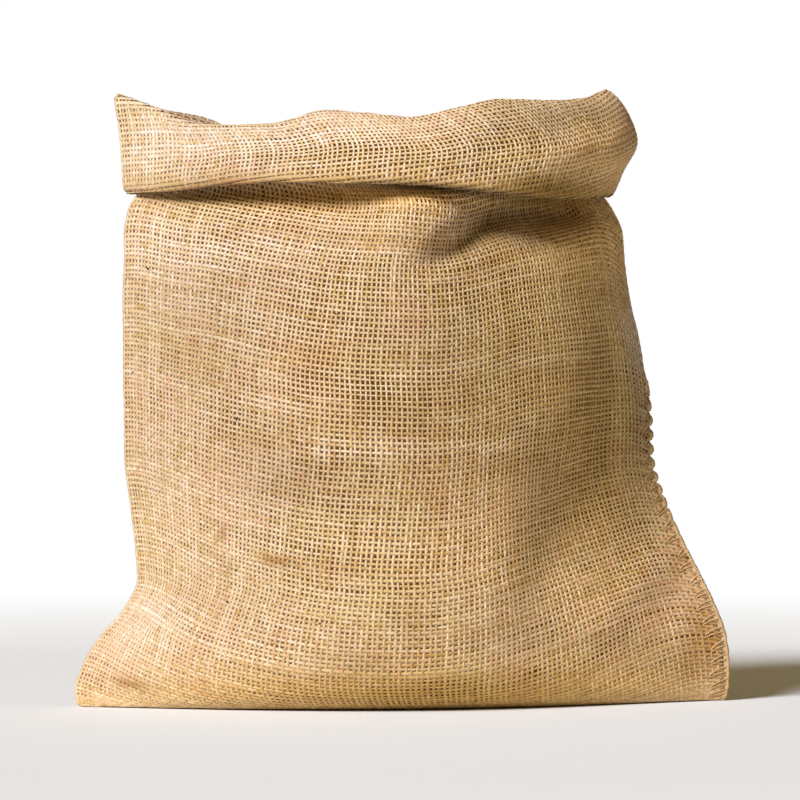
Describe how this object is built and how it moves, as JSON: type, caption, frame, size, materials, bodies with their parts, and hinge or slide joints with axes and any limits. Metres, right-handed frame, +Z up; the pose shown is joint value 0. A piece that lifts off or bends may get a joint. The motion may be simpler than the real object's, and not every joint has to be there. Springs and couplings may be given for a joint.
{
  "type": "hessian sack",
  "caption": "Small open hessian sack with a rounded base, drawn-out bottom corners, a sewn side seam and a mouth turned down as a soft cuff.",
  "frame": {"origin": "on the floor under the middle of the sack's box", "axes": "+X towards the sewn side seam, -Y towards the front, +Z up out of the mouth"},
  "size_m": [0.321, 0.1769, 0.3016],
  "materials": {
    "jute_cloth": "coarse open plain weave"
  },
  "bodies": {
    "root": {"sack_cloth": "jute_cloth"}
  },
  "joints": []
}
